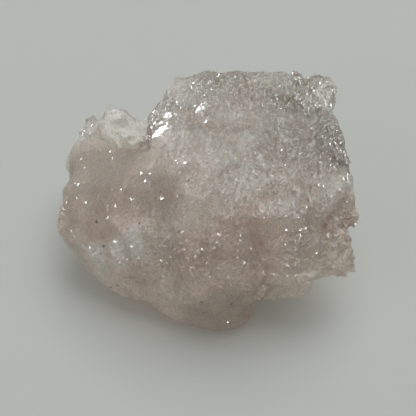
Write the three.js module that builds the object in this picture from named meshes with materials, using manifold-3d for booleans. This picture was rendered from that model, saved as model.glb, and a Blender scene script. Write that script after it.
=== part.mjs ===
// A rough lump of kunzite, a pale pink spodumene: one broken and etched stone that rests on a level face.
// Millimetres, +Z up, the smooth front of the stone towards -Y, the blocky broken end towards +X.
// The origin is under the middle of the stone, at the height of its resting face.
import * as THREE from "three";
import { ConvexGeometry } from "three/addons/geometries/ConvexGeometry.js";
import { TessellateModifier } from "three/addons/modifiers/TessellateModifier.js";
import { SimplexNoise } from "three/addons/math/SimplexNoise.js";
import { MeshSurfaceSampler } from "three/addons/math/MeshSurfaceSampler.js";
import { mergeVertices } from "three/addons/utils/BufferGeometryUtils.js";
import Module from "manifold-3d";

const wasm = await Module();
wasm.setup();

// ---- driving dimensions -------------------------------------------------------------------------
const summit = 30.6; // height of the crown's highest corner above the resting face
const longestEdge = 3.4; // edges longer than this are split, so that flat faces can be worn and roughened
const wearRounds = 2; // how often the corners are worn back towards their neighbours

// The surface is uneven twice over: wide swells and close bumps, each with its height and its spacing.
const swells = { height: 0.5, spacing: 6 };
const bumps = { height: 0.22, spacing: 1.7 };

// Blocks of crystal lie along one common direction, as the fibres of spodumene do, with a little lean.
// Ledges stand above the surface and pits are cut below it.
const fibre = new THREE.Vector3(0.15, 0.85, 0.5).normalize();
const ledges = { count: 58, length: [4.5, 9], width: [2.6, 5.4], lean: 0.22, above: [0.3, 1] };
const pits = { count: 16, length: [4, 8], width: [3, 6], lean: 0.25, below: [0.4, 1] };

// A shallow hollow low on the left lobe: its middle, full size and outward direction.
const hollow = { at: [-16.8, -10.7, 15.8], size: [12.5, 9, 4], outward: [-0.6, -0.7, 0.4] };

// ---- the main bodies, each by the corners of its convex form ------------------------------------
const bodies = {
  crown: {
    summit: [[7, 3, summit]],
    backRim: [[-10.2, 12.8, 23.6], [-7, 18.2, 28.4], [-3.3, 19.5, 29.4], [7.3, 19.6, 30.2], [16.5, 19.3, 29.2]],
    rightRim: [[22.2, 11, 27], [23.7, 3.4, 26], [24, -5, 24.4]],
    frontRim: [[19.4, -8.6, 27], [12.8, -12.6, 28], [4.9, -13.3, 28.6], [0.6, -12, 28.6]],
    leftRim: [[-4.1, -6, 28.2], [-9.8, 3.4, 25.8]],
    frontWaist: [[-9, -5, 7], [3, -12, 6], [15, -9, 8], [20, 0, 9]],
    backWaist: [[19, 12, 8], [11, 18, 7], [-2, 19, 7], [-13, 13, 8]],
  },
  leftLobe: {
    crest: [[-20, 8, 19], [-14.5, 9.5, 21.5], [-9.7, 3.4, 25.5], [-4, -5.5, 28], [0.5, -11.3, 28]],
    brow: [[-21.8, 1, 19.2], [-16, -2.5, 23.4], [-10, -5.2, 25.8], [-4, -9.2, 27]],
    cheek: [[-23.5, -3, 16.2], [-18, -7, 19.4], [-11.5, -10.2, 21.4], [-5, -12.5, 23]],
    jowl: [[-23.5, -5.5, 12], [-17.5, -10, 13.4], [-11, -13, 15]],
    leftEdge: [[-25.6, 6.5, 15], [-26.9, 0, 13], [-26.5, -3, 9.8], [-23.4, -5, 7.2]],
    lowEdge: [[-19.2, -8.2, 5.2], [-15, -10.8, 3.8], [-11, -12.6, 3]],
    foot: [[-20, 8, 4], [-20, 0, 3], [-14, -4, 1], [-8, -8, -1], [-10, 10, 0]],
  },
  frontLobe: {
    brow: [[-8, -4, 26], [0.5, -12, 28.2], [5, -13.3, 28]],
    belly: [[-5.5, -14.4, 17], [-0.5, -16, 21], [4.5, -16, 21], [-1, -17.2, 12], [4.5, -17.2, 12]],
    rightEdge: [[6.8, -14.4, 24.5], [9.4, -14.4, 18], [9.8, -15.3, 13], [9.6, -15.4, 9]],
    lowEdge: [[-11, -12.4, 3.8], [-7.5, -14, 1.8], [-3, -15.2, 0]],
    foot: [[0.5, -15.8, -1], [6.2, -15.6, -1], [6, -6, -2], [0, -4, -2]],
  },
  rightLobe: {
    top: [[8, -12, 26], [16.4, -11.4, 24.6], [19.8, -11, 16]],
    leftSide: [[7.5, -11, 8], [7.5, -11, 20]],
    overhang: [[9.6, -13.9, 7], [13, -14.8, 14], [16.5, -14, 6.6], [19.8, -11.8, 8.8]],
    root: [[10, -5, 8], [19, -4, 10], [14, -3, 6]],
  },
  rightCorner: {
    face: [[19.5, -12.4, 11.6], [23.3, -12.6, 11.2], [24.8, -11, 13.6], [23.8, -10, 18.6], [19, -11.4, 18.6]],
    root: [[22.5, -6, 12], [17, -4, 12], [17, -4, 20]],
  },
  rightRidge: {
    low: [[22.2, -9.4, 17], [23.8, -8.6, 17], [23.8, 0.5, 18]],
    high: [[24.8, -6, 20], [24.6, -4.4, 23], [20, -8.8, 22.5]],
    root: [[17, 0, 16]],
  },
};

// ---- rounded lobes ------------------------------------------------------------------------------
// Each has its middle, its full size, how blocky it is (2 an ellipsoid, 6 nearly a box) and its corners.
const lobes = {
  leftShoulder: { at: [-19.6, 12.5, 11.2], size: [13, 14.5, 17], blocky: 2.8, corners: 34 },
  nub: { at: [-22, 17.8, 16.2], size: [4, 4, 6], blocky: 3, corners: 14 },
  backKnob: { at: [-16.6, 19, 15], size: [8.6, 8, 9.4], blocky: 3.2, corners: 20 },
  backLeftRoot: { at: [-12, 15, 10], size: [18, 13, 15], blocky: 3, corners: 30 },
  cornerKnob: { at: [20.2, 18.2, 25.6], size: [7, 6.4, 8.8], blocky: 3.2, corners: 20 },
  cornerRoot: { at: [17, 14.5, 19], size: [10, 10, 12], blocky: 3, corners: 24 },
  back: { at: [1, 7, 10.5], size: [36, 30, 24], blocky: 2.8, corners: 60 },
};

// ---- helpers ------------------------------------------------------------------------------------
function seeded(seed) {
  let state = seed;
  return () => {
    state = (state + 0x6d2b79f5) | 0;
    let mixed = Math.imul(state ^ (state >>> 15), 1 | state);
    mixed = (mixed + Math.imul(mixed ^ (mixed >>> 7), 61 | mixed)) ^ mixed;
    return ((mixed ^ (mixed >>> 14)) >>> 0) / 4294967296;
  };
}

const random = seeded(16);
const between = ([low, high]) => low + (high - low) * random();
const eitherWay = (reach) => (2 * random() - 1) * reach;
const jitter = (reach) => new THREE.Vector3(eitherWay(reach), eitherWay(reach), eitherWay(reach));
const up = new THREE.Vector3(0, 0, 1);

// One shared vertex for each corner, with nothing but its position.
function welded(geometry) {
  const bare = geometry.clone();
  bare.deleteAttribute("normal");
  bare.deleteAttribute("uv");
  return mergeVertices(bare, 1e-4);
}

function toSolid(geometry) {
  const mesh = welded(geometry);
  return new wasm.Manifold(
    new wasm.Mesh({
      numProp: 3,
      vertProperties: new Float32Array(mesh.attributes.position.array),
      triVerts: new Uint32Array(mesh.index.array),
    }),
  );
}

function toGeometry(solid) {
  const mesh = solid.getMesh();
  const geometry = new THREE.BufferGeometry();
  geometry.setAttribute("position", new THREE.BufferAttribute(new Float32Array(mesh.vertProperties), 3));
  geometry.setIndex(new THREE.BufferAttribute(new Uint32Array(mesh.triVerts), 1));
  return geometry;
}

const hull = (points) => toSolid(new ConvexGeometry(points));
const union = (solids) => solids.reduce((whole, solid) => whole.add(solid));

// Directions spread evenly over a sphere, on a golden spiral.
function spreadDirections(count) {
  const golden = Math.PI * (3 - Math.sqrt(5));
  return Array.from({ length: count }, (_, i) => {
    const z = 1 - (2 * (i + 0.5)) / count;
    const r = Math.sqrt(1 - z * z);
    return new THREE.Vector3(r * Math.cos(golden * i), r * Math.sin(golden * i), z);
  });
}

// ---- forms --------------------------------------------------------------------------------------
function bodySolid(rows) {
  return hull(Object.values(rows).flat().map((corner) => new THREE.Vector3(...corner)));
}

// A lobe is the hull of points on a superellipsoid, with their directions jittered.
function lobeSolid({ at, size, blocky, corners }) {
  const half = new THREE.Vector3(...size).multiplyScalar(0.5);
  const points = spreadDirections(corners).map((even) => {
    const direction = even.add(jitter(0.12)).normalize();
    const spread = direction.toArray().reduce((sum, part) => sum + Math.abs(part) ** blocky, 0);
    return direction.multiplyScalar(spread ** (-1 / blocky)).multiply(half).add(new THREE.Vector3(...at));
  });
  return hull(points);
}

// The hollow is cut by a flattened ball whose short way looks out of the surface.
function hollowSolid({ at, size, outward }) {
  const turn = new THREE.Quaternion().setFromUnitVectors(up, new THREE.Vector3(...outward).normalize());
  const ball = new THREE.IcosahedronGeometry(0.5, 3);
  return toSolid(ball.scale(...size).applyQuaternion(turn).translate(...at));
}

// The corners of a slightly skewed block with a chisel end, along the fibre and about the origin.
function blockCorners({ length, width, lean }) {
  const long = between(length);
  const wide = between(width);
  const thick = wide * between([0.55, 0.9]);
  const corners = [];
  for (const x of [-0.5, 0.5]) {
    for (const y of [-0.5, 0.5]) {
      for (const z of [-0.5, 0.42]) corners.push(new THREE.Vector3(x * wide, y * thick, z * long));
    }
    corners.push(new THREE.Vector3(0.8 * x * wide, 0, 0.56 * long));
  }
  const axis = fibre.clone().add(jitter(lean)).normalize();
  const turn = new THREE.Quaternion().setFromUnitVectors(up, axis);
  turn.multiply(new THREE.Quaternion().setFromAxisAngle(up, between([0, 0.5])));
  return corners.map((corner) => corner.add(jitter(0.08 * wide)).applyQuaternion(turn));
}

// A block set at a point of the surface: a ledge reaches above it, a pit below it.
function blockSolid(family, point, normal) {
  const corners = blockCorners(family);
  const heights = corners.map((corner) => corner.dot(normal));
  const lift = family.above
    ? between(family.above) - Math.max(...heights)
    : -between(family.below) - Math.min(...heights);
  return hull(corners.map((corner) => corner.add(point).addScaledVector(normal, lift)));
}

// The crown and the right side are broken and blocky; the left and front lobes are etched smooth.
function brokenness({ x, y, z }) {
  const smoothSide = 0.03;
  return smoothSide + (1 - smoothSide) * THREE.MathUtils.smoothstep(x + 0.6 * y + 0.5 * (z - 15), -8, 10);
}

function scattered(geometry, family) {
  const sampler = new MeshSurfaceSampler(new THREE.Mesh(geometry)).setRandomGenerator(random).build();
  const point = new THREE.Vector3();
  const normal = new THREE.Vector3();
  const solids = [];
  while (solids.length < family.count) {
    sampler.sample(point, normal);
    if (random() < brokenness(point)) solids.push(blockSolid(family, point, normal));
  }
  return union(solids);
}

// ---- surface ------------------------------------------------------------------------------------
// Splits every edge longer than the limit; the passes are more than the longest face needs.
function refined(geometry) {
  const passes = 12;
  return welded(new TessellateModifier(longestEdge, passes).modify(geometry.toNonIndexed()));
}

// Wears corners round: in each round a vertex moves half way to the middle of its neighbours.
function worn(geometry) {
  const place = geometry.attributes.position;
  const index = geometry.index.array;
  const vertex = new THREE.Vector3();
  const neighbour = new THREE.Vector3();
  for (let round = 0; round < wearRounds; round++) {
    const sums = Array.from({ length: place.count }, () => new THREE.Vector3());
    const counts = new Uint32Array(place.count);
    for (let corner = 0; corner < index.length; corner++) {
      const next = corner % 3 === 2 ? corner - 2 : corner + 1;
      sums[index[corner]].add(neighbour.fromBufferAttribute(place, index[next]));
      counts[index[corner]] += 1;
    }
    for (let v = 0; v < place.count; v++) {
      vertex.fromBufferAttribute(place, v).lerp(sums[v].divideScalar(counts[v]), 0.5);
      place.setXYZ(v, ...vertex);
    }
  }
  return geometry;
}

// Moves each vertex by a noise that depends on its place alone, so that neighbours never cross.
function roughened(geometry) {
  const noise = new SimplexNoise({ random });
  const place = geometry.attributes.position;
  const field = ({ height, spacing }, { x, y, z }, channel) =>
    height * noise.noise3d(x / spacing + 40 * channel, y / spacing, z / spacing);
  const vertex = new THREE.Vector3();
  for (let v = 0; v < place.count; v++) {
    vertex.fromBufferAttribute(place, v);
    const shift = [0, 1, 2].map((axis) => field(swells, vertex, axis) + field(bumps, vertex, axis + 3));
    place.setXYZ(v, ...vertex.add(new THREE.Vector3(...shift)));
  }
  return geometry;
}

// ---- the stone ----------------------------------------------------------------------------------
const forms = [...Object.values(bodies).map(bodySolid), ...Object.values(lobes).map(lobeSolid)];
const core = worn(refined(toGeometry(union(forms))));
const pitted = toSolid(core).subtract(hollowSolid(hollow)).subtract(scattered(core, pits));
const broken = pitted.add(scattered(core, ledges));
const etched = toSolid(roughened(toGeometry(broken)));

// The resting face is cut level, and the origin goes under the middle of the stone.
const groundSize = 80;
const ground = new THREE.BoxGeometry(groundSize, groundSize, groundSize).translate(0, 0, -groundSize / 2);
const shape = toGeometry(etched.subtract(toSolid(ground)));
shape.computeBoundingBox();
const middle = shape.boundingBox.getCenter(new THREE.Vector3());
shape.translate(-middle.x, -middle.y, 0);

const kunzite = new THREE.MeshStandardMaterial({ color: 0xd9bfbb, roughness: 0.45, metalness: 0 });
const stone = new THREE.Mesh(shape, kunzite);
stone.name = "kunzite_lump";

const group = new THREE.Group();
group.add(stone);
export default group;
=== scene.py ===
# Rough kunzite: one etched, broken lump of massive pink spodumene, lying on white paper.
import math

import bpy
import numpy as np
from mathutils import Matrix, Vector


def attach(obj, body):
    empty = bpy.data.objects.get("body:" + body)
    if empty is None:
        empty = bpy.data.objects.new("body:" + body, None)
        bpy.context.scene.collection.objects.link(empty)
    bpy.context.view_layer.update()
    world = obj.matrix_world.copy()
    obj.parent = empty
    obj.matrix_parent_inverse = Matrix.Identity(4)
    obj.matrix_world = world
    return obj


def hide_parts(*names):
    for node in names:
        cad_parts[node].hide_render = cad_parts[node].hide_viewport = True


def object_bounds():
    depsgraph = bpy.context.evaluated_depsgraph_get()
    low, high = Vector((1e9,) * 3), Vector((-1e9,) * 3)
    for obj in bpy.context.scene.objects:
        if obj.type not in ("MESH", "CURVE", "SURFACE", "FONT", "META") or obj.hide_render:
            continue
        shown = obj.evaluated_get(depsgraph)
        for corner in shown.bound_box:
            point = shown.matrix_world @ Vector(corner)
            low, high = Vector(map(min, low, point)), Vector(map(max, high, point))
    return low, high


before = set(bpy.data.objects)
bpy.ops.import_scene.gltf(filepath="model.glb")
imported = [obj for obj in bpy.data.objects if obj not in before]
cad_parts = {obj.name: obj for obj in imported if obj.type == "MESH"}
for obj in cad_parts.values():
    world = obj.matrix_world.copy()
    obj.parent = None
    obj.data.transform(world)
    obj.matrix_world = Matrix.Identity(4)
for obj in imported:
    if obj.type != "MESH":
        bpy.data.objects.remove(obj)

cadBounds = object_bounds()
mm = 0.001


def toLinear(hexColour):
    channels = [int(hexColour[i:i + 2], 16) / 255 for i in (1, 3, 5)]
    return [c / 12.92 if c <= 0.04045 else ((c + 0.055) / 1.055) ** 2.4 for c in channels] + [1.0]


def addNode(tree, kind, links=None, **settings):
    # links: input name or number -> another node's output, or a plain value
    node = tree.nodes.new(kind)
    for name, value in settings.items():
        setattr(node, name, value)
    for socket, source in (links or {}).items():
        if isinstance(source, bpy.types.NodeSocket):
            tree.links.new(source, node.inputs[socket])
        else:
            node.inputs[socket].default_value = source
    return node


def emptyMaterial(name):
    material = bpy.data.materials.new(name)
    material.use_nodes = True
    material.node_tree.nodes.clear()
    return material


def pointsOf(mesh):
    points = np.empty(len(mesh.vertices) * 3)
    mesh.vertices.foreach_get("co", points)
    return points.reshape(-1, 3)


def movePoints(mesh, points):
    mesh.vertices.foreach_set("co", points.ravel())
    mesh.update()


# Where the stone changes. Each is a set of soft balls: middle and reach in millimetres, and strength,
# which past 1 makes the ball's edge sharper.
zones = {
    "clear": [  # clearer crystal, whitened and clouded: painted light that stands in for light shining through it
        ((-14.2, 14.2, 17.8), 6.5, 1.3),     # knob behind the left shoulder
        ((-10.5, 7.3, 20.8), 2.6, 0.6),      # where it meets the crown
        ((21.8, 13.2, 26.5), 6.0, 0.9),      # knob at the back right corner
        ((-17.5, -11.4, 12.7), 3.6, 0.65),    # hollow low on the left lobe
        ((-13.5, -12.8, 14.7), 3.6, 0.65),
        ((-11.5, -13.4, 17.0), 3.0, 0.8),
        ((-3.4, 13.6, 28.0), 5.5, 0.5),      # corner at the back left of the crown
        ((-21.6, 13.4, 18.4), 3.5, 0.75),    # tip of the left shoulder
    ],
    "pink": [   # tinted, smooth etched lobes
        ((-13.0, -5.0, 18.0), 16.0, 0.85),
        ((4.0, -18.5, 19.0), 14.0, 1.0),
        ((-9.0, -16.0, 9.0), 13.0, 0.7),
        ((6.0, -18.0, 6.0), 10.0, 0.8),
        ((15.0, -16.0, 15.0), 9.0, 0.3),
        ((-20.5, 12.0, 18.0), 6.0, 0.4),
        ((23.2, -9.8, 21.0), 6.5, 0.9),
        ((23.0, -14.5, 14.2), 5.0, 0.5),     # right ledge
        ((-24.0, -2.5, 13.5), 6.5, 0.85),    # left edge
        ((-3.0, -9.0, 27.0), 9.0, 0.5),
    ],
    "tintAndShade": [   # darker, greyer tint: partly the lobes' own tan, partly painted shade on faces turned from the light
        # painted shade with the lobe's own tan, on the left lobe
        ((-13.5, -2.0, 20.0), 11.0, 1.0),
        ((-20.0, 2.0, 18.0), 9.0, 0.9),
        ((-8.0, -9.0, 24.5), 7.0, 0.8),
        ((4.0, -18.5, 21.0), 8.0, 0.35),
        # painted shade under the front lobe
        ((4.0, -18.0, 5.0), 12.0, 1.0),
        ((23.5, -9.8, 21.0), 6.0, 0.7),
        ((-24.0, -2.5, 13.5), 6.0, 0.5),
    ],
    "silver": [  # finely splintered, flashing all over
        ((16.5, 11.0, 28.8), 8.5, 1.0),
        ((23.8, 0.0, 25.5), 7.0, 1.0),
        ((-8.0, 6.5, 26.0), 6.0, 0.7),
        ((-3.4, 8.5, 29.0), 3.5, 0.6),
        ((-10.5, 6.5, 21.5), 4.0, 0.6),
        ((1.0, 12.5, 29.8), 7.0, 0.55),
        ((9.0, 11.5, 30.3), 6.0, 0.5),
        ((1.0, 5.0, 29.8), 4.0, 0.6),
        ((21.8, 13.2, 27.5), 5.0, 1.0),
        ((14.0, -14.5, 23.5), 5.0, 0.7),
        ((17.0, -16.5, 18.5), 5.0, 0.4),
        ((1.0, -18.5, 21.5), 3.0, 0.45),
        ((-3.5, -16.8, 18.0), 2.5, 0.4),
        ((-16.0, -3.0, 20.0), 2.5, 0.35),
        ((24.0, -12.0, 18.0), 4.5, 0.15),
        ((15.5, -16.5, 15.0), 8.0, 0.38),
        ((4.5, -18.8, 17.0), 8.0, 0.25),
        ((-20.9, 13.8, 18.7), 3.0, 0.6),
        ((-17.5, -11.6, 12.6), 3.0, 0.6),
        ((-12.0, -13.5, 16.8), 2.8, 0.6),
    ],
    "glassy": [  # bare cleavage faces that mirror the light
        ((-7.2, 2.9, 26.8), 2.9, 1.7),
        ((-5.1, 5.5, 28.0), 1.8, 1.6),
        ((-1.0, 5.9, 29.5), 2.2, 1.0),
        ((15.1, 13.1, 29.3), 1.8, 1.0),
        ((20.2, 14.3, 28.3), 1.8, 1.0),
        ((-18.6, -10.6, 13.6), 2.0, 0.8),
    ],
    "paintedShadeRight": [  # darker and greyer: painted shade on the right of the crown
        ((15.0, 1.0, 29.5), 11.0, 0.6),
        ((22.5, 3.0, 26.0), 9.0, 0.9),
        ((21.8, 13.2, 26.5), 5.0, 0.6),
    ],
    "craggy": [  # broken along the cleavage rather than etched
        ((4.0, 2.0, 30.0), 22.0, 0.36),
        ((4.0, 11.0, 30.0), 9.0, 0.6),
        ((17.0, -11.0, 27.5), 7.0, 0.7),
        ((9.0, -13.5, 28.5), 6.0, 0.6),
        ((14.0, -5.0, 29.0), 13.0, 0.55),
        ((6.0, -10.0, 29.5), 9.0, 0.5),
        ((-7.0, 6.5, 26.5), 7.5, 1.0),
        ((16.5, 12.0, 28.5), 10.0, 1.0),
        ((23.5, 0.0, 25.0), 9.0, 0.9),
        ((-15.5, 13.8, 17.5), 8.0, 0.35),
        ((-21.0, 10.0, 17.7), 6.0, 0.3),
        ((23.0, -13.0, 18.0), 8.0, 0.7),
        ((15.0, -16.0, 20.0), 8.0, 0.5),
        ((0.0, 18.0, 12.0), 22.0, 0.8),      # broken back
        ((22.0, 8.0, 12.0), 14.0, 0.8),
        ((-22.0, 6.0, 8.0), 10.0, 0.6),
    ],
    "calm": [   # etched almost smooth, with hardly any relief
        ((-13.0, -4.0, 22.5), 9.5, 1.5),
        ((-7.0, -10.5, 25.5), 6.5, 1.4),
        ((-2.0, -13.5, 26.5), 4.5, 1.4),
        ((-19.5, 3.5, 18.0), 8.5, 1.5),
        ((-18.5, -5.5, 17.0), 8.0, 1.2),
        ((-20.5, 10.0, 18.0), 6.0, 0.9),
        ((-13.5, 12.5, 17.5), 4.5, 0.8),
        ((2.0, -19.0, 6.0), 9.0, 1.0),
    ],
    "spiky": [  # where small crystals stand up
        ((-15.2, 14.2, 18.0), 6.0, 1.0),
        ((15.5, 11.5, 29.0), 7.0, 0.8),
        ((-20.5, 14.5, 18.0), 4.0, 0.5),
        ((0.0, 18.0, 12.0), 18.0, 0.3),
    ],
    "knobby": [  # where blunt grains stand out
        ((21.0, 13.0, 26.0), 5.0, 0.5),
        ((23.5, -13.0, 15.0), 6.0, 0.8),
        ((13.0, -17.2, 10.5), 5.0, 1.0),
        ((18.5, -15.8, 11.5), 4.5, 1.0),
        ((24.0, -6.0, 20.0), 6.0, 0.4),
        ((-16.0, 12.5, 16.0), 6.0, 0.5),
        ((5.0, 19.0, 10.0), 14.0, 0.35),
    ],
}


zoneEdge = {"wander": 1.4 * mm, "slope": 1.8}   # how far the edges wander, and how fast they fall off


def wandering(points, reach, waves=5, seed=4):
    # smooth random shifts, a sum of slow waves, so that no zone has a round edge
    random = np.random.default_rng(seed)
    shift = np.zeros((len(points), 3))
    for size in np.linspace(3, 11, waves) * mm:
        way = random.normal(size=(3, 3)) / size
        shift += np.sin(points @ way + random.uniform(0, 2 * math.pi, 3)) * reach / waves ** 0.5
    return shift


def paintZones(mesh):
    points = pointsOf(mesh)
    points = points + wandering(points, zoneEdge["wander"])
    painted = {}
    for name, balls in zones.items():
        strength = np.zeros(len(points))
        for middle, reach, most in balls:
            away = np.linalg.norm(points - np.array(middle) * mm, axis=1) / (reach * mm)
            near = np.clip(zoneEdge["slope"] * (1 - away), 0, 1)
            strength = np.maximum(strength, most * near * near * (3 - 2 * near))
        painted[name] = np.minimum(strength, 1)
    painted["craggy"] *= 1 - painted["calm"]
    for name, strength in painted.items():
        mesh.attributes.new(name, "FLOAT", "POINT").data.foreach_set("value", strength)


stone = {
    "coarse": 0.42 * mm,       # first skin, worn before the splinters grow
    "coarseWear": 3,           # rounds of smoothing
    "fine": 0.33 * mm,         # last skin, fine enough that the larger sugary grains are real shape
    "fineWear": 2,
}
fibreWay = (0.15, 0.9, 0.3)    # the crystals lie along this
splinters = {                  # small crystals that stand out of the skin: inputs of the geometry tree
    "blades": {
        "Zone": "spiky",
        "Density": 0.22e6,     # for each square metre of the zone
        "Smallest": (0.8 * mm, 1.4 * mm, 1.4 * mm),
        "Largest": (1.6 * mm, 3.0 * mm, 2.6 * mm),
        "Lean": (0.5, 0.45, 0.7),   # radians either way
        "Seed": 7,
    },
    "knobs": {
        "Zone": "knobby",
        "Density": 0.16e6,
        "Smallest": (1.4 * mm, 1.4 * mm, 1.2 * mm),
        "Largest": (2.8 * mm, 2.8 * mm, 2.2 * mm),
        "Lean": (0.5, 0.5, 0.8),
        "Seed": 5,
    },
}
cleavage = {                   # inputs of the geometry tree, in metres
    "Wander": 0.5 * mm,        # how far every border strays
    "Wander pitch": 1 / (2.4 * mm),
    "Dent size": 3.5 * mm,     # low dents and swellings on the etched lobes
    "Dent depth": 0.9 * mm,
    "Facet size": 4.2 * mm,    # crystals grown together, each broken along its own face
    "Facet tip": 0.9 * mm,     # how far the end of a facet leans out
    "Facet step": 0.25 * mm,   # how far one facet stands above the next
    "Flake width": 0.85 * mm,
    "Flake length": 1.9 * mm,
    "Flake tip": 0.32 * mm,
    "Flake step": 0.12 * mm,
    "Grain size": 0.9 * mm,
    "Grain tip": 0.13 * mm,
    "Grain step": 0.05 * mm,
    "Smooth share": 0.2,       # how much of the facets and flakes the smooth lobes keep
    "Calm share": 0.3,         # how much of all relief the calm parts keep
}


def evaluatedMesh(piece, name):
    depsgraph = bpy.context.evaluated_depsgraph_get()
    mesh = bpy.data.meshes.new_from_object(piece.evaluated_get(depsgraph))
    mesh.name = name
    return mesh


def linked(name, mesh):
    piece = bpy.data.objects.new(name, mesh)
    bpy.context.collection.objects.link(piece)
    return piece


def weldedCad():
    piece = linked("copy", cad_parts["kunzite_lump"].data.copy())
    weld = piece.modifiers.new("weld", "WELD")
    weld.merge_threshold = 0.002 * mm
    mesh = evaluatedMesh(piece, "kunzite_cad")
    mesh.materials.clear()
    bpy.data.objects.remove(piece)
    return mesh


def skinned(mesh, name, voxel, wear):
    # one closed skin of even squares, with its creases worn down
    piece = linked("skinning", mesh)
    remesh = piece.modifiers.new("skin", "REMESH")
    remesh.mode = "VOXEL"
    remesh.voxel_size = voxel
    smooth = piece.modifiers.new("wear", "SMOOTH")
    smooth.factor = 0.5
    smooth.iterations = wear
    done = evaluatedMesh(piece, name)
    bpy.data.objects.remove(piece)
    paintZones(done)
    return done


socketKinds = {
    float: "NodeSocketFloat",
    int: "NodeSocketInt",
    tuple: "NodeSocketVector",
    str: "NodeSocketString",
}


def newTree(name, values):
    # a geometry tree with one named input for each value, and a material
    tree = bpy.data.node_groups.new(name, "GeometryNodeTree")
    tree.interface.new_socket("Geometry", in_out="INPUT", socket_type="NodeSocketGeometry")
    for given, value in values.items():
        tree.interface.new_socket(given, in_out="INPUT", socket_type=socketKinds[type(value)])
    tree.interface.new_socket("Material", in_out="INPUT", socket_type="NodeSocketMaterial")
    tree.interface.new_socket("Geometry", in_out="OUTPUT", socket_type="NodeSocketGeometry")
    return tree, addNode(tree, "NodeGroupInput").outputs


def finishTree(tree, geometry, material):
    whole = addNode(tree, "GeometryNodeRealizeInstances", {"Geometry": geometry})
    dressed = addNode(tree, "GeometryNodeSetMaterial", {"Geometry": whole.outputs[0], "Material": material})
    addNode(tree, "NodeGroupOutput", {"Geometry": dressed.outputs[0]})
    return tree


def splinterTree():
    # blocks that stand on their zone, flat sides along the fibre
    tree, given = newTree("splinters", splinters["blades"])
    zone = addNode(tree, "GeometryNodeInputNamedAttribute", {"Name": given["Zone"]}, data_type="FLOAT")
    density = addNode(tree, "ShaderNodeMath", {0: zone.outputs[0], 1: given["Density"]},
                      operation="MULTIPLY").outputs[0]
    spots = addNode(tree, "GeometryNodeDistributePointsOnFaces", {
        "Mesh": given["Geometry"], "Density": density, "Seed": given["Seed"]}).outputs
    block = addNode(tree, "GeometryNodeMeshCube", {"Size": (1.0, 1.0, 1.0)}).outputs["Mesh"]
    upright = addNode(tree, "FunctionNodeAlignRotationToVector", {"Vector": spots["Normal"]}, axis="Z")
    along = addNode(tree, "FunctionNodeAlignRotationToVector", {
        "Rotation": upright.outputs[0], "Vector": fibreWay}, axis="Y", pivot_axis="Z").outputs[0]
    less = addNode(tree, "ShaderNodeVectorMath", {0: given["Lean"], "Scale": -1.0}, operation="SCALE")
    lean = addNode(tree, "FunctionNodeRandomValue", {
        "Min": less.outputs[0], "Max": given["Lean"], "Seed": given["Seed"]},
                   data_type="FLOAT_VECTOR").outputs["Value"]
    turned = addNode(tree, "FunctionNodeEulerToRotation", {0: lean}).outputs[0]
    rotation = addNode(tree, "FunctionNodeRotateRotation", {0: along, 1: turned},
                       rotation_space="LOCAL").outputs[0]
    size = addNode(tree, "FunctionNodeRandomValue", {
        "Min": given["Smallest"], "Max": given["Largest"], "Seed": 11},
                   data_type="FLOAT_VECTOR").outputs["Value"]
    grown = addNode(tree, "GeometryNodeInstanceOnPoints", {
        "Points": spots["Points"], "Instance": block, "Rotation": rotation, "Scale": size}).outputs[0]
    joined = addNode(tree, "GeometryNodeJoinGeometry", {"Geometry": given["Geometry"]})
    tree.links.new(grown, joined.inputs["Geometry"])
    return finishTree(tree, joined.outputs[0], given["Material"])


def tippedCells(tree, place, tip, step):
    # height of flat cells, one unit across, each leaning its own way
    cells = addNode(tree, "ShaderNodeTexVoronoi", {"Vector": place, "Scale": 1.0})
    away = addNode(tree, "ShaderNodeVectorMath", {0: place, 1: cells.outputs["Position"]},
                   operation="SUBTRACT")
    chance = addNode(tree, "ShaderNodeVectorMath", {0: cells.outputs["Color"], 1: (0.5, 0.5, 0.5)},
                     operation="SUBTRACT")
    lean = addNode(tree, "ShaderNodeVectorMath", {0: away.outputs[0], 1: chance.outputs[0]},
                   operation="DOT_PRODUCT")
    level = addNode(tree, "ShaderNodeSeparateXYZ", {0: chance.outputs[0]})
    leaning = addNode(tree, "ShaderNodeMath", {0: lean.outputs["Value"], 1: tip}, operation="MULTIPLY")
    return addNode(tree, "ShaderNodeMath", {0: level.outputs["X"], 1: step, 2: leaning.outputs[0]},
                   operation="MULTIPLY_ADD").outputs[0]


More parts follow.
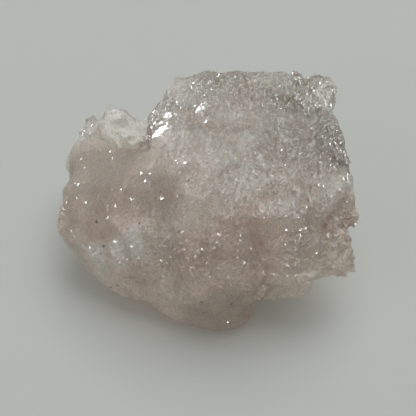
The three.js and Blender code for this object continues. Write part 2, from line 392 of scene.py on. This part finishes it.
def cleavageTree():
    tree, given = newTree("cleavage", cleavage)
    place = addNode(tree, "GeometryNodeInputPosition").outputs[0]
    normal = addNode(tree, "GeometryNodeInputNormal").outputs[0]
    craggy, calm = (
        addNode(tree, "GeometryNodeInputNamedAttribute", {"Name": name}, data_type="FLOAT").outputs[0]
        for name in ("craggy", "calm"))

    def maths(operation, first, second):
        return addNode(tree, "ShaderNodeMath", {0: first, 1: second}, operation=operation).outputs[0]

    def vector(operation, first, second):
        return addNode(tree, "ShaderNodeVectorMath", {0: first, 1: second}, operation=operation).outputs[0]

    # a place that wanders a little, so that no border runs quite straight
    wander = addNode(tree, "ShaderNodeTexNoise", {
        "Vector": place, "Scale": given["Wander pitch"], "Detail": 1.0})
    either = vector("SUBTRACT", wander.outputs["Color"], (0.5, 0.5, 0.5))
    shift = addNode(tree, "ShaderNodeVectorMath", {0: either, "Scale": given["Wander"]}, operation="SCALE")
    bent = vector("ADD", place, shift.outputs[0])
    # each crystal is one facet, and turns the fibre its own way
    facetPlace = vector("DIVIDE", bent, given["Facet size"])
    facets = tippedCells(tree, facetPlace, given["Facet tip"], given["Facet step"])
    crystal = addNode(tree, "ShaderNodeTexVoronoi", {"Vector": facetPlace, "Scale": 1.0})
    turn = addNode(tree, "ShaderNodeMapRange", {0: crystal.outputs["Color"], 3: -0.9, 4: 0.9})
    fibre = addNode(tree, "ShaderNodeVectorRotate", {"Vector": bent, "Axis": (0.7, 0.2, 0.6),
                                                     "Angle": turn.outputs[0]}).outputs[0]
    flakeSize = addNode(tree, "ShaderNodeCombineXYZ", {
        "X": given["Flake width"], "Y": given["Flake length"], "Z": given["Flake width"]}).outputs[0]
    flakes = tippedCells(tree, vector("DIVIDE", fibre, flakeSize), given["Flake tip"], given["Flake step"])
    keep = addNode(tree, "ShaderNodeMapRange", {0: craggy, 3: given["Smooth share"], 4: 1.0}).outputs[0]
    broken = maths("MULTIPLY", maths("ADD", facets, flakes), keep)
    grains = tippedCells(tree, vector("DIVIDE", fibre, given["Grain size"]), given["Grain tip"],
                         given["Grain step"])
    swelling = addNode(tree, "ShaderNodeTexNoise", {"Vector": vector("DIVIDE", place, given["Dent size"]),
                                                    "Scale": 1.0, "Detail": 2.0}).outputs["Fac"]
    dents = maths("MULTIPLY", maths("SUBTRACT", swelling, 0.5), given["Dent depth"])
    calmed = addNode(tree, "ShaderNodeMapRange", {0: calm, 3: 1.0, 4: given["Calm share"]}).outputs[0]
    height = maths("MULTIPLY", maths("ADD", maths("ADD", broken, grains), dents), calmed)
    offset = addNode(tree, "ShaderNodeVectorMath", {0: normal, "Scale": height}, operation="SCALE")
    marked = addNode(tree, "GeometryNodeStoreNamedAttribute", {
        "Geometry": given["Geometry"], "Name": "fibre", "Value": fibre},
                     data_type="FLOAT_VECTOR", domain="POINT")
    moved = addNode(tree, "GeometryNodeSetPosition", {
        "Geometry": marked.outputs[0], "Offset": offset.outputs[0]})
    return finishTree(tree, moved.outputs[0], given["Material"])


def grownMesh(mesh, tree, values, name):
    piece = linked("growing", mesh)
    modifier = piece.modifiers.new(tree.name, "NODES")
    modifier.node_group = tree
    for item in tree.interface.items_tree:
        if item.in_out == "INPUT" and item.name in values:
            modifier[item.identifier] = values[item.name]
    done = evaluatedMesh(piece, name)
    bpy.data.objects.remove(piece)
    return done


chips = [   # faces broken flat: middle in millimetres, where the face looks, and reach in millimetres
    ((-6.9, 2.8, 27.0), (-0.55, -0.05, 0.83), 2.7),
    ((-5.0, 5.5, 28.1), (-0.54, -0.02, 0.84), 1.7),
    ((-0.4, 5.9, 29.5), (-0.54, -0.08, 0.84), 1.5),
    ((-7.3, 8.9, 26.7), (-0.58, -0.02, 0.81), 0.9),
    ((-6.0, 7.2, 27.6), (-0.50, -0.12, 0.86), 0.9),
    ((-9.2, 5.4, 23.0), (-0.60, -0.08, 0.79), 1.2),
    ((-3.2, 1.6, 28.4), (-0.46, 0.02, 0.88), 1.2),
    ((15.1, 13.1, 29.3), (0.25, 0.00, 0.97), 1.2),
    ((20.2, 14.3, 28.3), (0.25, 0.00, 0.97), 1.2),
    ((22.2, 12.4, 27.6), (0.10, -0.35, 0.93), 1.8),
    ((24.4, 14.0, 26.0), (0.97, -0.10, 0.20), 2.0),
    ((-18.6, -10.6, 13.6), (-0.30, -0.80, 0.50), 1.5),
    ((-14.0, -12.4, 15.6), (-0.25, -0.75, 0.60), 2.2),
    ((-23.5, 8.0, 15.0), (-0.80, -0.20, 0.55), 2.0),
]
faceFront, faceLeft, faceBack = (-0.04, -0.80, 0.60), (-0.20, -0.67, 0.72), (-0.55, -0.05, 0.83)
faceRight, faceTop, faceEast = (0.37, -0.56, 0.74), (0.25, 0.00, 0.97), (0.64, -0.10, 0.76)
sparks = [  # single grains with a bare face big enough to see: the same values
    ((-3.4, -14.9, 23.5), faceFront, 0.38),
    ((2.5, -16.8, 25.2), faceLeft, 0.42),
    ((3.5, -17.2, 25.2), faceFront, 0.38),
    ((0.1, -17.4, 22.1), faceLeft, 0.48),
    ((-1.9, -16.1, 21.9), faceLeft, 0.34),
    ((-6.8, -15.2, 16.3), faceFront, 0.42),
    ((-7.4, -15.5, 13.7), faceFront, 0.38),
    ((0.8, -19.0, 18.3), faceFront, 0.34),
    ((4.8, -19.4, 13.0), faceFront, 0.34),
    ((9.7, -15.6, 23.9), faceFront, 0.42),
    ((13.2, -14.9, 24.0), faceRight, 0.38),
    ((15.4, -14.7, 23.7), faceRight, 0.48),
    ((16.3, -14.0, 23.3), faceRight, 0.38),
    ((23.0, -13.8, 19.1), faceRight, 0.42),
    ((18.5, -14.5, 17.6), faceRight, 0.38),
    ((13.8, -17.3, 17.7), faceRight, 0.42),
    ((10.0, -16.0, 17.6), faceFront, 0.42),
    ((9.9, -17.6, 16.3), faceRight, 0.38),
    ((15.7, -17.1, 14.4), faceFront, 0.34),
    ((20.6, -12.7, 19.6), faceLeft, 0.38),
    ((-16.3, 6.0, 19.8), faceBack, 0.38),
    ((-10.0, -4.1, 25.4), faceBack, 0.38),
    ((-6.4, -10.1, 25.9), faceBack, 0.48),
    ((-11.6, -8.3, 23.7), faceLeft, 0.38),
    ((-15.7, -8.1, 21.2), faceLeft, 0.42),
    ((-14.1, -8.5, 22.0), faceLeft, 0.38),
    ((-19.8, -4.9, 18.8), faceBack, 0.34),
    ((-17.4, 10.8, 21.2), faceRight, 0.42),
    ((-14.9, 12.9, 19.7), faceRight, 0.42),
    ((-16.6, 14.5, 20.9), faceTop, 0.42),
    ((4.4, 7.1, 30.3), faceTop, 0.42),
    ((5.8, 6.1, 30.1), faceTop, 0.34),
    ((16.7, 8.4, 29.2), faceTop, 0.5),
    ((19.6, 8.8, 28.3), faceTop, 0.55),
    ((14.6, 12.6, 29.9), faceTop, 0.5),
    ((1.5, 13.0, 29.8), faceTop, 0.42),
    ((13.1, 10.7, 31.0), faceBack, 0.42),
    ((20.7, 14.7, 28.1), faceTop, 0.5),
    ((0.5, 3.5, 29.5), faceBack, 0.48),
    ((-2.8, -4.5, 28.4), faceBack, 0.42),
    ((-4.3, -3.5, 27.7), faceBack, 0.34),
    ((20.9, -2.5, 26.7), faceTop, 0.42),
    ((22.9, -5.4, 25.5), faceEast, 0.48),
    ((8.1, -2.8, 30.4), faceTop, 0.34),
    ((18.3, 3.5, 28.1), faceTop, 0.42),
    ((22.9, -0.1, 26.5), faceEast, 0.42),
]
wornOff = [  # peaks that have broken away, cut down to a face: the same values
    ((0.7, 16.0, 29.1), (0.00, 0.30, 0.95), 3.5),
    ((23.2, 14.5, 27.9), (0.00, 0.10, 1.00), 3.9),
    ((-20.8, 14.4, 18.9), (-0.10, 0.20, 0.97), 3.5),
    ((24.3, -4.4, 24.1), (0.90, -0.10, 0.40), 3.0),
    ((24.9, -9.8, 19.3), (0.75, -0.10, -0.65), 2.5),
]


# Where wear took the skin off the solid's outline, or a grain stands too far out of it:
# middle, shift and reach in millimetres.
nudges = [
    ((-22.3, 14.5, 18.3), (0.9, 0.0, 0.0), 3.2),
    ((-12.8, 16.4, 18.6), (0.0, -1.3, -1.3), 3.2),
    ((-13.2, 18.6, 17.4), (0.0, -0.8, -0.7), 3.2),
    ((-18.2, 15.6, 18.9), (0.0, 0.3, 0.6), 2.0),
    ((-8.8, 9.5, 25.4), (-0.5, 0.0, 0.1), 2.5),
    ((-3.9, 14.8, 28.0), (0.0, 0.45, 0.8), 4.0),
    ((-7.3, 11.5, 27.2), (0.5, 0.0, -0.1), 3.0),
    ((5.5, 15.6, 29.4), (0.0, 0.2, 0.35), 4.5),
    ((14.5, 15.8, 28.8), (0.0, 0.45, 0.8), 3.2),
    ((18.5, 14.8, 28.0), (0.2, 0.4, 0.6), 2.5),
    ((21.5, 17.0, 27.8), (0.0, -0.4, -0.4), 3.0),
    ((22.4, 6.3, 26.8), (0.5, 0.0, 0.1), 3.0),
    ((24.5, -4.4, 24.1), (-0.6, 0.0, -0.1), 2.6),
    ((25.2, -8.4, 21.0), (-0.7, 0.0, 0.0), 2.6),
    ((25.5, -10.0, 20.6), (-1.1, 0.1, 0.2), 2.0),
    ((23.7, -11.2, 19.2), (0.5, 0.0, 0.0), 1.7),
    ((25.1, -14.2, 16.3), (-1.3, 0.0, 0.0), 3.5),
    ((24.7, -14.3, 14.7), (-0.4, 0.0, 0.0), 2.5),
    ((18.8, -16.5, 10.8), (-0.6, 0.8, 0.7), 3.0),
    ((19.0, -15.6, 10.0), (-0.4, 0.3, 0.5), 3.0),
    ((8.5, -18.4, 7.1), (-0.9, 0.1, 0.0), 3.0),
    ((6.0, -18.8, 2.8), (0.3, -0.4, -0.2), 2.5),
    ((-19.0, -10.5, 6.8), (-0.4, -0.4, -0.4), 3.0),
    ((-16.0, -12.2, 5.3), (-0.4, -0.55, -0.5), 4.5),
    ((-3.2, -17.4, 1.9), (-0.1, -0.6, -0.3), 5.0),
    ((3.8, -19.2, 2.4), (0.0, -0.3, -0.1), 4.0),
    ((-23.8, 2.1, 15.2), (-0.4, 0.0, 0.0), 3.0),
    ((-24.3, -4.2, 13.4), (0.3, 0.0, 0.0), 3.0),
    ((-25.3, -3.8, 12.4), (0.3, 0.0, 0.0), 2.5),
    ((-23.3, -7.2, 11.0), (-0.3, -0.3, -0.2), 2.5),
]


def nudged(points, middle, shift, reach):
    away = np.linalg.norm(points - np.array(middle) * mm, axis=1) / (reach * mm)
    return points + np.outer(np.clip(1 - away ** 2, 0, 1) ** 2, np.array(shift) * mm)


def flattened(points, middle, facing, reach, cutOnly=False):
    # brings the points near the middle onto one plane: at their mean height, or through the middle
    # if it only cuts
    facing = np.array(facing) / np.linalg.norm(facing)
    away = points - np.array(middle) * mm
    distance = np.linalg.norm(away, axis=1)
    near = np.clip((1 - distance / (reach * mm)) / 0.15, 0, 1)
    height = away @ facing
    rise = np.maximum(height, 0) if cutOnly else height - height[near > 0].mean()
    return points - np.outer(rise * near, facing)


def chipped(mesh):
    points = pointsOf(mesh)
    for nudge in nudges:
        points = nudged(points, *nudge)
    for peak in wornOff:
        points = flattened(points, *peak, cutOnly=True)
    for chip in chips:
        points = flattened(points, *chip)
    glassy = np.empty(len(points))
    mesh.attributes["glassy"].data.foreach_get("value", glassy)
    for middle, facing, reach in sparks:
        glassy[np.linalg.norm(points - np.array(middle) * mm, axis=1) < reach * mm] = 1
        points = flattened(points, middle, facing, reach)
    mesh.attributes["glassy"].data.foreach_set("value", glassy)
    movePoints(mesh, points)


def fitted(mesh, box):
    # whatever stands out of the solid's own box ends in a flat face on it
    points = pointsOf(mesh)
    low, high = np.array(box[0]), np.array(box[1])
    out = ((points < low) | (points > high)).any(axis=1).sum()
    print("stone: reach", points.min(axis=0) / mm, points.max(axis=0) / mm, "points outside", out)
    movePoints(mesh, np.clip(points, low, high))


look = {
    "flake": (0.27 * mm, 0.6 * mm, 0.27 * mm),   # finest cleavage flakes, tipped but not raised
    "grain": 0.36 * mm,        # etched sugar on the lobes, about twice its real size so that it shows
    "speck": 0.2 * mm,         # the finest mottling, coarser than the real one so that it shows
    "speckShade": (0.76, 1.18),    # from its darkest to its lightest
    "wisp": (0.9 * mm, 3.2 * mm, 0.9 * mm),      # milky threads along the fibre
    "streak": (0.22 * mm, 1.0 * mm, 0.22 * mm),  # dark and bright lines where the stone has splintered
    "streakShade": (0.58, 1.12),
    "patch": 5 * mm,           # bare faces come in patches of this size
    "patchShare": (0.1, 2.6),  # how many lie between the patches and in them
    "inclusions": 3.4 * mm,    # about one dark speck to a cube of this side
    "inclusionSize": 0.1,      # of that side
    "flakeTip": 0.95,
    "grainTip": 0.5,
    "glintTip": 1.1,           # bare faces lean further than the skin around them
    "facetTip": 0.22,          # large mirror faces hardly lean from the shape itself
    "glintsOnLobes": 0.05,     # share of grains that kept a bare, glassy face
    "glintsOnCrown": 0.05,
    "glintsOnSilver": 0.4,
    "glintsOnGlass": 0.9,
    "calmShare": 0.6,          # calm skin leans its grains, and bares them, this much
    "roughBroken": 0.35,
    "roughEtched": 0.55,
    "roughCalm": 0.8,
    "ior": 1.66,               # spodumene
    "glintRough": 0.12,
    "glintIor": 1.8,
    "milk": 0.5,               # share of the scattered light that wanders under the skin
    "milkReach": 3 * mm,
    "dye": "#f6e6e2",          # what the crystal lets through
    "dyeDensity": 40.0,        # for each metre
    "crown": "#f1efe0",
    "crownWarm": "#f0eadd",
    # painted shade on the right of the crown
    "paintedShadeRight": "#bebcb1",
    "veil": "#f6f4ee",
    "lobe": "#f6e0d2",
    # darker and greyer: partly the lobes' tan, partly painted shade
    "lobeTintAndShade": "#cabdae",
    "inclusion": "#4d443e",
    # near white for the clearer knobs and hollow: painted light in place of light shining through them
    "clearBacklitWhite": "#fbf9ef",
    "cloud": 6 * mm,           # milky clouds inside
    "warmth": 9 * mm,          # and of the warmer tint
    "cloudCrown": 0.5,         # how much of the light is scattered inside instead of let through
    "cloudLobe": 0.58,
    # the clearer parts scatter this much back: painted light in place of light let through
    "cloudClearBacklit": 0.92,
    "cloudStep": 0.4,          # from one grain to the next
    "cloudStepCalm": 0.12,
    "cloudSwing": 0.16,        # from one cloud to the next, either way
    "wispCloud": 0.25,
}


def stoneMaterial():
    # massive spodumene, etched and broken: cloudy inside and sugary outside, with bare cleavage
    # faces that flash
    material = emptyMaterial("kunzite_massive_etched")
    tree = material.node_tree
    place = addNode(tree, "ShaderNodeTexCoord").outputs["Object"]
    normal = addNode(tree, "ShaderNodeNewGeometry").outputs["Normal"]
    zone = {name: addNode(tree, "ShaderNodeAttribute", attribute_name=name).outputs["Fac"]
            for name in ("pink", "tintAndShade", "clear", "paintedShadeRight", "glassy", "craggy", "calm", "silver")}
    fibre = addNode(tree, "ShaderNodeAttribute", attribute_name="fibre").outputs["Vector"]

    def maths(operation, first, second, **settings):
        return addNode(tree, "ShaderNodeMath", {0: first, 1: second},
                       operation=operation, **settings).outputs[0]

    def ranged(value, low, high, start, end):
        return addNode(tree, "ShaderNodeMapRange", {0: value, 1: low, 2: high, 3: start, 4: end}).outputs[0]

    def blend(factor, first, second):
        return addNode(tree, "ShaderNodeMix", {0: factor, 2: first, 3: second}).outputs[0]

    def tint(factor, first, second):
        return addNode(tree, "ShaderNodeMix", {0: factor, 6: first, 7: second}, data_type="RGBA").outputs[2]

    def divided(vector, size):
        return addNode(tree, "ShaderNodeVectorMath", {0: vector, 1: size}, operation="DIVIDE").outputs[0]

    # every flake or grain tips the surface its own way; what noise gives lies mostly within 0.36 and 0.64
    broken = ranged(zone["craggy"], 0.15, 0.5, 0.0, 1.0)
    flakes = addNode(tree, "ShaderNodeTexVoronoi", {"Vector": divided(fibre, look["flake"]), "Scale": 1.0})
    grains = addNode(tree, "ShaderNodeTexVoronoi", {"Vector": place, "Scale": 1 / look["grain"]})
    chance = tint(broken, grains.outputs["Color"], flakes.outputs["Color"])
    lucks = addNode(tree, "ShaderNodeSeparateXYZ", {0: chance}).outputs
    centred = addNode(tree, "ShaderNodeVectorMath", {0: chance, 1: (0.5, 0.5, 0.5)}, operation="SUBTRACT")

    def tipped(amount):
        amount = blend(zone["glassy"], amount, look["facetTip"])
        lean = addNode(tree, "ShaderNodeVectorMath", {0: centred.outputs[0], "Scale": amount},
                       operation="SCALE")
        leant = addNode(tree, "ShaderNodeVectorMath", {0: normal, 1: lean.outputs[0]}, operation="ADD")
        return addNode(tree, "ShaderNodeVectorMath", {0: leant.outputs[0]},
                       operation="NORMALIZE").outputs[0]

    calmed = ranged(zone["calm"], 0.0, 1.0, 1.0, look["calmShare"])
    skinNormal = tipped(maths("MULTIPLY", blend(broken, look["grainTip"], look["flakeTip"]), calmed))
    bareNormal = tipped(look["glintTip"])
    patches = addNode(tree, "ShaderNodeTexNoise", {"Vector": place, "Scale": 1 / look["patch"],
                                                   "Detail": 3.0}).outputs["Fac"]
    share = blend(zone["craggy"], look["glintsOnLobes"], look["glintsOnCrown"])
    share = maths("MULTIPLY", share, ranged(patches, 0.45, 0.62, *look["patchShare"]))
    share = maths("MULTIPLY", share, calmed)
    share = blend(zone["silver"], share, look["glintsOnSilver"])
    share = blend(zone["glassy"], share, look["glintsOnGlass"])
    bare = maths("GREATER_THAN", lucks["Z"], maths("SUBTRACT", 1.0, share))

    # cloudiness: veils, threads along the fibre, and a step from each grain to the next
    clouds = addNode(tree, "ShaderNodeTexNoise", {
        "Vector": place, "Scale": 1 / look["cloud"], "Detail": 5.0, "Roughness": 0.6}).outputs["Fac"]
    wisps = addNode(tree, "ShaderNodeTexNoise", {"Vector": divided(fibre, look["wisp"]), "Scale": 1.0,
                                                 "Detail": 3.0}).outputs["Fac"]
    warmth = addNode(tree, "ShaderNodeTexNoise", {"Vector": place, "Scale": 1 / look["warmth"],
                                                  "Detail": 2.0}).outputs["Color"]
    colour = tint(ranged(warmth, 0.4, 0.6, 0.0, 1.0), toLinear(look["crown"]), toLinear(look["crownWarm"]))
    # painted shade: darker and greyer on the right of the crown
    colour = tint(zone["paintedShadeRight"], colour, toLinear(look["paintedShadeRight"]))
    colour = tint(ranged(wisps, 0.56, 0.66, 0.0, 0.8), colour, toLinear(look["veil"]))
    colour = tint(zone["pink"], colour, toLinear(look["lobe"]))
    # painted shade, partly the lobes' own tan: darker where the lobes turn from the light
    colour = tint(zone["tintAndShade"], colour, toLinear(look["lobeTintAndShade"]))
    # painted light: the clearer knobs and hollow turn near white, in place of light shining through them
    colour = tint(zone["clear"], colour, toLinear(look["clearBacklitWhite"]))
    specks = addNode(tree, "ShaderNodeTexNoise", {"Vector": place, "Scale": 1 / look["speck"],
                                                  "Detail": 2.0}).outputs["Fac"]
    streaks = addNode(tree, "ShaderNodeTexNoise", {"Vector": divided(fibre, look["streak"]), "Scale": 1.0,
                                                   "Detail": 2.0}).outputs["Fac"]
    shade = blend(zone["silver"], ranged(specks, 0.36, 0.64, *look["speckShade"]),
                  ranged(streaks, 0.4, 0.6, *look["streakShade"]))
    colour = addNode(tree, "ShaderNodeVectorMath", {0: colour, "Scale": shade},
                     operation="SCALE").outputs[0]
    dots = addNode(tree, "ShaderNodeTexVoronoi", {"Vector": place, "Scale": 1 / look["inclusions"]})
    dot = ranged(dots.outputs["Distance"], look["inclusionSize"] * 0.6, look["inclusionSize"], 1.0, 0.0)
    colour = tint(maths("MULTIPLY", dot, zone["pink"]), colour, toLinear(look["inclusion"]))
    cloudy = blend(zone["pink"], look["cloudCrown"], look["cloudLobe"])
    # and cloudier, so that they throw back the painted light
    cloudy = blend(zone["clear"], cloudy, look["cloudClearBacklit"])
    cloudy = maths("ADD", cloudy, ranged(clouds, 0.36, 0.64, -look["cloudSwing"], look["cloudSwing"]))
    cloudy = maths("ADD", cloudy, ranged(wisps, 0.5, 0.7, 0.0, look["wispCloud"]))
    even = maths("MAXIMUM", zone["clear"], zone["calm"])
    step = blend(even, look["cloudStep"], look["cloudStepCalm"])
    cloudy = maths("ADD", cloudy, maths("MULTIPLY", maths("SUBTRACT", lucks["X"], 0.5), step))
    through = maths("SUBTRACT", 1.0, cloudy, use_clamp=True)
    rough = blend(zone["calm"], blend(broken, look["roughEtched"], look["roughBroken"]), look["roughCalm"])
    shader = addNode(tree, "ShaderNodeBsdfPrincipled", {
        "Base Color": colour, "Roughness": rough, "IOR": look["ior"],
        "Transmission Weight": through, "Normal": skinNormal,
        "Coat Weight": bare, "Coat Roughness": look["glintRough"],
        "Coat IOR": look["glintIor"], "Coat Normal": bareNormal, "Subsurface Weight": look["milk"],
        "Subsurface Radius": (1.0, 0.85, 0.8), "Subsurface Scale": look["milkReach"]})
    dye = addNode(tree, "ShaderNodeVolumeAbsorption", {
        "Color": toLinear(look["dye"]), "Density": look["dyeDensity"]})
    addNode(tree, "ShaderNodeOutputMaterial", {"Surface": shader.outputs[0], "Volume": dye.outputs[0]})
    return material


spodumene = stoneMaterial()
worn = skinned(weldedCad(), "kunzite_worn", stone["coarse"], stone["coarseWear"])
growing = worn
splinterNodes = splinterTree()
for name, values in splinters.items():
    before = len(growing.polygons)
    growing = grownMesh(growing, splinterNodes, dict(values, Material=spodumene), "kunzite_" + name)
    print("stone:", name, "added,", (len(growing.polygons) - before) // 6)
skin = skinned(growing, "kunzite_skin", stone["fine"], stone["fineWear"])
stoneData = grownMesh(skin, cleavageTree(), dict(cleavage, Material=spodumene), "kunzite")
chipped(stoneData)
fitted(stoneData, cadBounds)
stoneData.shade_flat()        # every face of the skin is a cleavage face
kunzite = linked("kunzite", stoneData)
print("stone: grown,", len(stoneData.polygons), "faces")
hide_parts("kunzite_lump")
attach(kunzite, "root")

paper = {"side": 4.0, "colour": "#e4e7e2", "roughness": 0.9}


def paperMaterial():
    # uncoated white paper: no sheen, a trace of green
    material = emptyMaterial("paper_uncoated_white")
    tree = material.node_tree
    shader = addNode(tree, "ShaderNodeBsdfPrincipled", {
        "Base Color": toLinear(paper["colour"]), "Roughness": paper["roughness"]})
    addNode(tree, "ShaderNodeOutputMaterial", {"Surface": shader.outputs[0]})
    return material


half = paper["side"] / 2
sheet = bpy.data.meshes.new("floor")
corners = [(-half, -half, 0), (half, -half, 0), (half, half, 0), (-half, half, 0)]
sheet.from_pydata(corners, [], [(0, 1, 2, 3)])
sheet.materials.append(paperMaterial())
floor = linked("floor", sheet)

# One big softbox behind the stone, a weak bounce from the front, bright panels that only gloss can see,
# and the pale room.
windows = {
    "softbox": {"towards": 60, "height": 72, "away": 1.2, "size": 0.9, "watts": 5.1},
    "bounce": {"towards": -150, "height": 30, "away": 1.2, "size": 0.6, "watts": 0.6},
}
glints = {
    "panelBack": {"towards": 142, "height": 20, "away": 0.7, "size": 0.26, "watts": 2.8},
    "panelTop": {"towards": 60, "height": 42, "away": 0.7, "size": 0.1, "watts": 0.5},
    "panelEast": {"towards": 32, "height": 12, "away": 0.7, "size": 0.26, "watts": 1.3},
    "panelLeft": {"towards": -120, "height": 40, "away": 0.7, "size": 0.26, "watts": 1.7},
    "panelFront": {"towards": -95, "height": 24, "away": 0.7, "size": 0.14, "watts": 0.6},
    "panelRight": {"towards": -30, "height": 38, "away": 0.7, "size": 0.26, "watts": 2.1},
}
room = {"colour": "#eef0f0", "strength": 0.29}


def aimed(thing, place, target):
    thing.location = place
    thing.rotation_euler = (Vector(target) - Vector(place)).to_track_quat("-Z", "Y").to_euler()


for name, values in {**windows, **glints}.items():
    lamp = bpy.data.lights.new(name, "AREA")
    lamp.shape = "SQUARE"
    lamp.size = values["size"]
    lamp.energy = values["watts"]
    turn, rise = math.radians(values["towards"]), math.radians(values["height"])
    way = Vector((math.cos(turn) * math.cos(rise), math.sin(turn) * math.cos(rise), math.sin(rise)))
    panel = linked(name, lamp)
    aimed(panel, way * values["away"], (0, 0, 0.015))
    panel.visible_diffuse = panel.visible_transmission = name in windows

world = bpy.data.worlds.new("studio")
bpy.context.scene.world = world
world.use_nodes = True
world.node_tree.nodes["Background"].inputs["Color"].default_value = toLinear(room["colour"])
world.node_tree.nodes["Background"].inputs["Strength"].default_value = room["strength"]

camera = {"target": (0.9 * mm, -2.9 * mm, 15 * mm), "elevation": 50, "view": 26, "width": 72.1 * mm}
distance = camera["width"] / 2 / math.tan(math.radians(camera["view"] / 2))
rise = math.radians(camera["elevation"])
lens = bpy.data.cameras.new("camera")
lens.angle = math.radians(camera["view"])
lens.clip_start = 1 * mm
cameraObject = linked("camera", lens)
aimed(cameraObject, Vector(camera["target"]) + Vector((0, -math.cos(rise), math.sin(rise))) * distance,
      camera["target"])
bpy.context.scene.camera = cameraObject
bpy.context.scene.view_settings.view_transform = "Standard"
